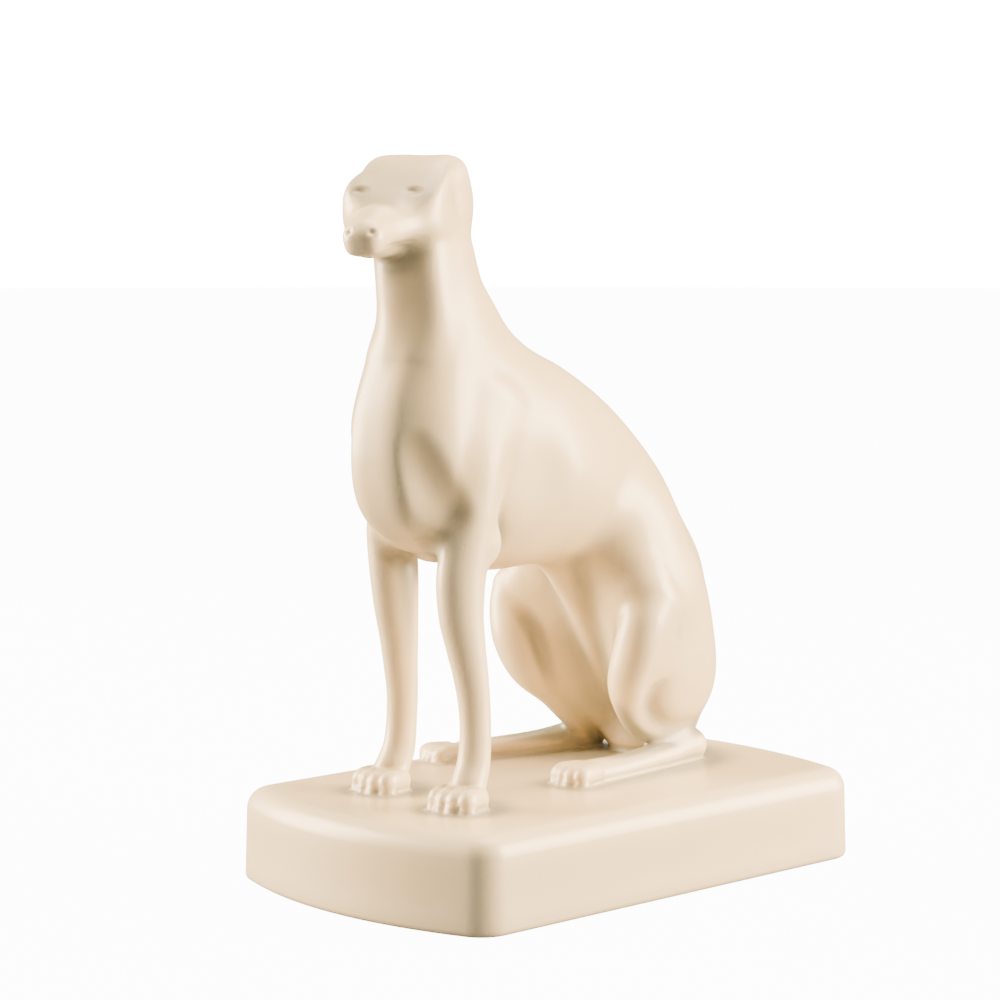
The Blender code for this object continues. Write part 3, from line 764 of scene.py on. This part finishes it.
def select_edges(obj, wanted):
    """In edit mode, selects the edges that wanted(edge) is true for."""
    bpy.ops.mesh.select_mode(type="EDGE")
    bpy.ops.mesh.select_all(action="DESELECT")
    shape = bmesh.from_edit_mesh(obj.data)
    for edge in shape.edges:
        if wanted(edge):
            edge.select_set(True)
    bmesh.update_edit_mesh(obj.data)
    bpy.ops.mesh.select_mode(type="EDGE")


def cut_across(obj, place, direction, wanted):
    """Cuts the wanted faces along a plane, so that the shading has small faces to run over."""
    bpy.ops.mesh.select_mode(type="FACE")
    select_faces(obj, wanted)
    bpy.ops.mesh.bisect(plane_co=place, plane_no=direction)


class STATUE_OT_plinth(bpy.types.Operator):
    """Model the low plinth with bowed ends, round corners and rounded edges"""

    bl_idname = "statue.plinth"
    bl_label = "Plinth"

    def execute(self, context):
        sizes = context.scene.statue_sizes
        outline = plinth_outline(sizes, 0)
        height = sizes.plinth_height
        start_afresh()
        bpy.ops.mesh.primitive_circle_add(
            vertices=len(outline), radius=sizes.plinth_width / 2, fill_type="NGON")
        plinth = context.object
        plinth.name = "plinth"
        for vertex, (x, y) in zip(plinth.data.vertices, outline):
            vertex.co = (x, y, 0)
        bpy.ops.object.mode_set(mode="EDIT")
        bpy.ops.mesh.select_all(action="SELECT")
        bpy.ops.mesh.extrude_region_move(TRANSFORM_OT_translate={"value": (0, 0, height)})
        bpy.ops.object.mode_set(mode="OBJECT")
        top = [vertex for vertex in plinth.data.vertices if vertex.co.z > height / 2]
        for vertex, (x, y) in zip(top, plinth_outline(sizes, sizes.side_draft)):
            vertex.co = (x, y, height)
        bpy.ops.object.mode_set(mode="EDIT")
        bpy.ops.mesh.select_all(action="SELECT")
        bpy.ops.mesh.normals_make_consistent(inside=False)
        for level, radius, facets in ((height, sizes.top_edge_radius, TOP_EDGE_FACETS),
                                      (0, sizes.foot_edge_radius, FOOT_EDGE_FACETS)):
            select_edges(plinth, lambda edge: all(abs(v.co.z - level) < 1e-6 for v in edge.verts))
            bpy.ops.mesh.bevel(offset=radius, segments=facets, affect="EDGES",
                               clamp_overlap=False)
        self.lay_net(plinth, sizes)
        bpy.ops.object.mode_set(mode="OBJECT")
        return {"FINISHED"}

    def lay_net(self, plinth, sizes):
        """Cuts the flat faces and the long sides into faces of about the net's pitch."""
        straight = sizes.plinth_length / 2 - sizes.corner_radius
        rows = round(2 * straight / NET_PITCH)
        for i in range(rows + 1):
            y = -straight + 2 * straight * i / rows
            cut_across(plinth, (0, y, 0), (0, 1, 0), lambda face: True)
        across = sizes.plinth_width / 2 - sizes.top_edge_radius
        columns = round(2 * across / NET_PITCH)
        for i in range(1, columns):
            x = -across + 2 * across * i / columns
            cut_across(plinth, (x, 0, 0), (1, 0, 0), lambda face: abs(face.normal.z) > 0.999)
        lowest, highest = sizes.foot_edge_radius, sizes.plinth_height - sizes.top_edge_radius
        levels = round((highest - lowest) / NET_PITCH)
        for i in range(1, levels):
            z = lowest + (highest - lowest) * i / levels
            cut_across(plinth, (0, 0, z), (0, 0, 1), lambda face: True)


class STATUE_OT_greyhound(bpy.types.Operator):
    """Model the seated greyhound as one surface, standing on a bed of clay inside the plinth"""

    bl_idname = "statue.greyhound"
    bl_label = "Greyhound"

    def execute(self, context):
        sizes = context.scene.statue_sizes
        unit = sizes.figure_height / 100
        half = ((sizes.plinth_width / 2 - BED_MARGIN) / unit,
                (sizes.plinth_length / 2 - BED_MARGIN) / unit)
        clay = greyhound_clay()
        model_fine_relief(clay)
        clay.add(Bed(half, FIGURE_TURN, FIGURE_SHIFT / unit), BED_SOFTNESS)
        vertices, faces = surface(clay, FINE_CELL)
        cosine, sine = math.cos(FIGURE_TURN), math.sin(FIGURE_TURN)
        x, y, z = vertices.T * unit
        placed = np.stack([x * cosine - y * sine + FIGURE_SHIFT,
                           x * sine + y * cosine, z + sizes.plinth_height], axis=1)
        mesh = bpy.data.meshes.new("greyhound")
        mesh.from_pydata(placed.tolist(), [], faces.tolist())
        figure = bpy.data.objects.new("greyhound", mesh)
        context.collection.objects.link(figure)
        return {"FINISHED"}


class STATUE_OT_glaze(bpy.types.Operator):
    """Fuse greyhound and plinth into one body and cover it with cream glaze, with shade painted
    into its colour
    """

    bl_idname = "statue.glaze"
    bl_label = "Fuse and glaze"

    def execute(self, context):
        statue = bpy.data.objects["plinth"]
        figure = bpy.data.objects["greyhound"]
        pick(statue)
        union = statue.modifiers.new("fuse", "BOOLEAN")
        union.operation = "UNION"
        union.solver = "EXACT"
        union.object = figure
        bpy.ops.object.modifier_apply(modifier=union.name)
        bpy.data.objects.remove(figure, do_unlink=True)
        bpy.ops.object.shade_smooth()
        statue.name = STATUE
        statue.data.name = STATUE
        lay_glaze_depth_and_shade(statue.data)
        lay_painted_shade(statue.data, context.scene.statue_sizes)
        statue.data.materials.clear()
        statue.data.materials.append(glaze_material(context.scene.glaze_look))
        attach(statue, BODY)
        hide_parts(NODE)
        return {"FINISHED"}


def places_and_normals(mesh):
    """Each vertex's place and the way that the surface faces there."""
    places, normals = np.empty(len(mesh.vertices) * 3), np.empty(len(mesh.vertices) * 3)
    mesh.vertices.foreach_get("co", places)
    mesh.vertex_normals.foreach_get("vector", normals)
    return places.reshape(-1, 3), normals.reshape(-1, 3)


def lay_glaze_depth_and_shade(mesh):
    """Stores how hollow the surface is at each vertex: glaze gathers there and thins on edges, and
    hollows are also darkened as painted shade.
    """
    count = len(mesh.vertices)
    places, normals = places_and_normals(mesh)
    ends = np.empty(len(mesh.edges) * 2, dtype=np.int32)
    mesh.edges.foreach_get("vertices", ends)
    first, second = ends.reshape(-1, 2).T
    joined = np.bincount(first, minlength=count) + np.bincount(second, minlength=count)
    apart = places[second] - places[first]
    length = np.linalg.norm(apart, axis=1) + 1e-9
    rise_first = (apart * normals[first]).sum(axis=1) / length ** 2
    rise_second = -(apart * normals[second]).sum(axis=1) / length ** 2
    hollow = np.bincount(first, rise_first, count) + np.bincount(second, rise_second, count)
    hollow = 2 * hollow / np.maximum(joined, 1)
    hollow = np.clip(hollow, -SHARPEST, SHARPEST)
    for _ in range(HOLLOW_SPREAD):
        total = (np.bincount(first, hollow[second], count)
                 + np.bincount(second, hollow[first], count))
        hollow = 0.5 * hollow + 0.5 * total / np.maximum(joined, 1)
    glaze_and_shade = mesh.attributes.new("glaze_depth_and_shade", "FLOAT", "POINT")
    glaze_and_shade.data.foreach_set("value", np.clip(0.5 + hollow / (2 * FULL_POOL_AND_SHADE), 0, 1))


def lay_painted_shade(mesh, sizes):
    """Stores how closed in each vertex is by the figure, for painted shade: 0 in the open, 1 deep
    between limbs.
    """
    places, normals = places_and_normals(mesh)
    cosine, sine = math.cos(FIGURE_TURN), math.sin(FIGURE_TURN)
    to_figure = np.array([[cosine, -sine, 0], [sine, cosine, 0], [0, 0, 1]])
    places = (places - (FIGURE_SHIFT, 0, sizes.plinth_height)) @ to_figure
    places = places / (sizes.figure_height / 100)
    normals = normals @ to_figure
    clay = greyhound_clay()
    free = sum(np.clip(clay.distance(places + reach * normals) / reach, 0, 1)
               for reach in PAINTED_SHADE_REACHES) / len(PAINTED_SHADE_REACHES)
    painted_shade_share = mesh.attributes.new("painted_shade_share", "FLOAT", "POINT")
    painted_shade_share.data.foreach_set("value", (1 - free).astype(np.float32))


class MaterialMaker:
    """Adds nodes to a material and gives their sockets values or links."""

    def __init__(self, name):
        self.material = bpy.data.materials.new(name)
        self.material.use_nodes = True
        self.tree = self.material.node_tree
        self.shader = self.tree.nodes["Principled BSDF"]

    def give(self, socket, value):
        """Links value to the socket if it is another node's output, and else sets it."""
        if isinstance(value, bpy.types.NodeSocket):
            self.tree.links.new(value, socket)
        else:
            socket.default_value = value

    def node(self, kind, inputs=None, **settings):
        node = self.tree.nodes.new(kind)
        for name, value in settings.items():
            setattr(node, name, value)
        for name, value in (inputs or {}).items():
            self.give(node.inputs[name], value)
        return node

    def mix(self, share, first, second):
        """first where share is 0 and second where it is 1, as colours."""
        mixed = self.node("ShaderNodeMix", {0: share, 6: first, 7: second}, data_type="RGBA")
        return mixed.outputs[2]

    def ramp(self, value, start, end):
        """0 at start, 1 at end and past it, smooth in between."""
        mapped = self.node("ShaderNodeMapRange",
                           {"Value": value, "From Min": start, "From Max": end},
                           interpolation_type="SMOOTHSTEP")
        return mapped.outputs["Result"]

    def sum(self, operation, first, second):
        return self.node("ShaderNodeMath", {0: first, 1: second}, operation=operation).outputs[0]

    def use(self, name, value):
        self.give(self.shader.inputs[name], value)


def glaze_material(look):
    """Cream glaze: gathered warm in hollows, thin on edges, gently uneven, with a few pinholes, and
    painted shade in hollows and deep between the limbs.
    """
    glaze = MaterialMaker("cream_glaze")
    places = glaze.node("ShaderNodeTexCoord").outputs["Object"]
    glaze_and_shade = glaze.node("ShaderNodeAttribute", attribute_name="glaze_depth_and_shade").outputs["Fac"]
    painted_shade_share = glaze.node("ShaderNodeAttribute", attribute_name="painted_shade_share").outputs["Fac"]
    clouds, swell, grain = (
        glaze.node("ShaderNodeTexNoise", {"Vector": places, "Scale": scale, "Detail": detail})
        .outputs["Fac"]
        for scale, detail in ((CLOUD_SCALE, 3.0), (SWELL_SCALE, 1.0), (GRAIN_SCALE, 2.0)))
    uneven = glaze.sum("MULTIPLY", glaze.sum("SUBTRACT", clouds, 0.5), CLOUD_SHARE)
    lay = glaze.sum("ADD", glaze_and_shade, uneven)
    cream = (*look.cream, 1.0)
    # Darker in hollows: partly glaze gathered thick, partly painted shade
    colour = glaze.mix(glaze.ramp(lay, 0.52, 0.95), cream, (*look.pooled_and_shade, 1.0))
    colour = glaze.mix(glaze.ramp(lay, 0.46, 0.12), colour, (*look.thin, 1.0))
    # Painted shade: darker deep between the limbs, where shade falls
    colour = glaze.mix(glaze.ramp(painted_shade_share, 0.08, 0.62), colour, (*look.painted_shade_colour, 1.0))

    cells = glaze.node("ShaderNodeTexVoronoi",
                       {"Vector": places, "Scale": PINHOLE_SCALE, "Randomness": 1.0})
    chosen = glaze.node("ShaderNodeSeparateColor", {"Color": cells.outputs["Color"]})
    rare = glaze.ramp(chosen.outputs["Red"], *PINHOLE_RARITY)
    size = glaze.sum("MULTIPLY", chosen.outputs["Green"], PINHOLE_SPREAD)
    near = glaze.ramp(glaze.sum("SUBTRACT", cells.outputs["Distance"], size), *PINHOLE_EDGE)
    pinholes = glaze.sum("MULTIPLY", rare, near)
    colour = glaze.mix(glaze.sum("MULTIPLY", pinholes, 0.55), colour, (*look.pinhole, 1.0))

    height = glaze.sum("ADD", swell, glaze.sum("MULTIPLY", grain, 0.05))
    height = glaze.sum("SUBTRACT", height, glaze.sum("MULTIPLY", pinholes, 0.8))
    bump = glaze.node("ShaderNodeBump", {"Height": height, "Strength": 0.35, "Distance": 0.0004})
    glaze.use("Base Color", colour)
    glaze.use("Roughness", glaze.sum("ADD", glaze.sum("MULTIPLY", clouds, 0.10), 0.36))
    glaze.use("Normal", bump.outputs["Normal"])
    glaze.use("Metallic", 0.0)
    glaze.use("IOR", 1.5)
    glaze.use("Subsurface Weight", 0.06)
    glaze.use("Subsurface Radius", (0.0030, 0.0018, 0.0010))
    glaze.use("Subsurface Scale", 1.0)
    glaze.use("Coat Weight", 0.55)
    glaze.use("Coat Roughness", look.gloss)
    glaze.use("Coat IOR", 1.5)
    return glaze.material


def floor_material(look):
    """Matt pale floor, bright enough to run into the white surround without a horizon."""
    floor = MaterialMaker("pale_floor")
    places = floor.node("ShaderNodeTexCoord").outputs["Object"]
    clouds = floor.node("ShaderNodeTexNoise", {"Vector": places, "Scale": 3.0, "Detail": 2.0})
    colour = floor.mix(floor.sum("MULTIPLY", clouds.outputs["Fac"], FLOOR_CLOUDS),
                       (*look.floor_colour, 1.0), FLOOR_CLOUD_COLOUR)
    floor.use("Base Color", colour)
    floor.use("Roughness", 0.7)
    floor.use("Specular IOR Level", 0.2)
    seen = floor.node("ShaderNodeLightPath").outputs["Is Camera Ray"]
    glow = floor.node("ShaderNodeEmission", {
        "Color": (1, 1, 1, 1), "Strength": floor.sum("MULTIPLY", seen, FLOOR_GLOW)})
    both = floor.node("ShaderNodeAddShader", {
        0: floor.shader.outputs["BSDF"], 1: glow.outputs["Emission"]})
    output = floor.tree.nodes["Material Output"]
    floor.tree.links.new(both.outputs[0], output.inputs["Surface"])
    return floor.material


def point_at(holder, target):
    """Turns a light or a camera to face the target."""
    aim = Vector(target) - holder.location
    holder.rotation_euler = aim.to_track_quat("-Z", "Y").to_euler()


class STATUE_OT_stage(bpy.types.Operator):
    """Set the pale floor, the soft studio lights, the white surround and the camera"""

    bl_idname = "statue.stage"
    bl_label = "Stage"

    def execute(self, context):
        look = context.scene.stage_look
        self.lay_floor(look)
        self.hang_surround(context.scene, look)
        for name, place, width, height, power in LIGHTS:
            self.hang_light(context, look, name, place, width, height, power)
        self.place_camera(context, look)
        return {"FINISHED"}

    def lay_floor(self, look):
        start_afresh()
        bpy.ops.mesh.primitive_circle_add(
            vertices=128, radius=look.floor_radius, fill_type="NGON", location=(0, 0, FLOOR_LEVEL))
        floor = bpy.context.object
        floor.name = "floor"
        bpy.ops.object.transform_apply(location=True, rotation=True, scale=True)
        floor.data.materials.append(floor_material(look))

    def hang_surround(self, scene, look):
        """White all round: bright to the eye, softer as a light."""
        world = bpy.data.worlds.new("white_surround")
        scene.world = world
        world.use_nodes = True
        tree = world.node_tree
        seen = tree.nodes["Background"]
        seen.inputs["Color"].default_value = (1, 1, 1, 1)
        seen.inputs["Strength"].default_value = SURROUND
        light = tree.nodes.new("ShaderNodeBackground")
        light.inputs["Color"].default_value = (*look.room_colour, 1)
        light.inputs["Strength"].default_value = ROOM_LIGHT * look.light_strength
        path = tree.nodes.new("ShaderNodeLightPath")
        blend = tree.nodes.new("ShaderNodeMixShader")
        tree.links.new(path.outputs["Is Camera Ray"], blend.inputs[0])
        tree.links.new(light.outputs[0], blend.inputs[1])
        tree.links.new(seen.outputs[0], blend.inputs[2])
        tree.links.new(blend.outputs[0], tree.nodes["World Output"].inputs["Surface"])

    def hang_light(self, context, look, name, place, width, height, power):
        lamp = bpy.data.lights.new(name, "AREA")
        lamp.shape = "RECTANGLE"
        lamp.size = width
        lamp.size_y = height
        lamp.energy = power * look.light_strength
        lamp.color = look.light_colour
        holder = bpy.data.objects.new(name, lamp)
        context.collection.objects.link(holder)
        holder.location = place
        point_at(holder, LIGHT_TARGET)

    def place_camera(self, context, look):
        camera = bpy.data.cameras.new("camera")
        camera.lens = look.lens
        camera.sensor_width = 36
        holder = bpy.data.objects.new("camera", camera)
        context.collection.objects.link(holder)
        holder.location = look.camera_place
        point_at(holder, look.camera_target)
        context.scene.camera = holder


class STATUE_PT_panel(bpy.types.Panel):
    """Lists the sizes, the looks and the pieces"""

    bl_label = "Greyhound statue"
    bl_idname = "STATUE_PT_panel"
    bl_space_type = "VIEW_3D"
    bl_region_type = "UI"
    bl_category = "Greyhound"

    def draw(self, context):
        layout = self.layout
        for group in (context.scene.statue_sizes, context.scene.glaze_look,
                      context.scene.stage_look):
            box = layout.box()
            for name in group.bl_rna.properties.keys():
                if name not in ("rna_type", "name"):
                    box.prop(group, name)
        for operator in OPERATORS:
            layout.operator(operator.bl_idname)


OPERATORS = (STATUE_OT_plinth, STATUE_OT_greyhound, STATUE_OT_glaze, STATUE_OT_stage)
CLASSES = (StatueSizes, GlazeLook, StageLook, *OPERATORS, STATUE_PT_panel)


def register():
    for cls in CLASSES:
        bpy.utils.register_class(cls)
    bpy.types.Scene.statue_sizes = bpy.props.PointerProperty(type=StatueSizes)
    bpy.types.Scene.glaze_look = bpy.props.PointerProperty(type=GlazeLook)
    bpy.types.Scene.stage_look = bpy.props.PointerProperty(type=StageLook)


def unregister():
    del bpy.types.Scene.stage_look
    del bpy.types.Scene.glaze_look
    del bpy.types.Scene.statue_sizes
    for cls in reversed(CLASSES):
        bpy.utils.unregister_class(cls)


def main():
    register()
    bpy.ops.statue.plinth()
    bpy.ops.statue.greyhound()
    bpy.ops.statue.glaze()
    bpy.ops.statue.stage()


if __name__ == "__main__":
    main()
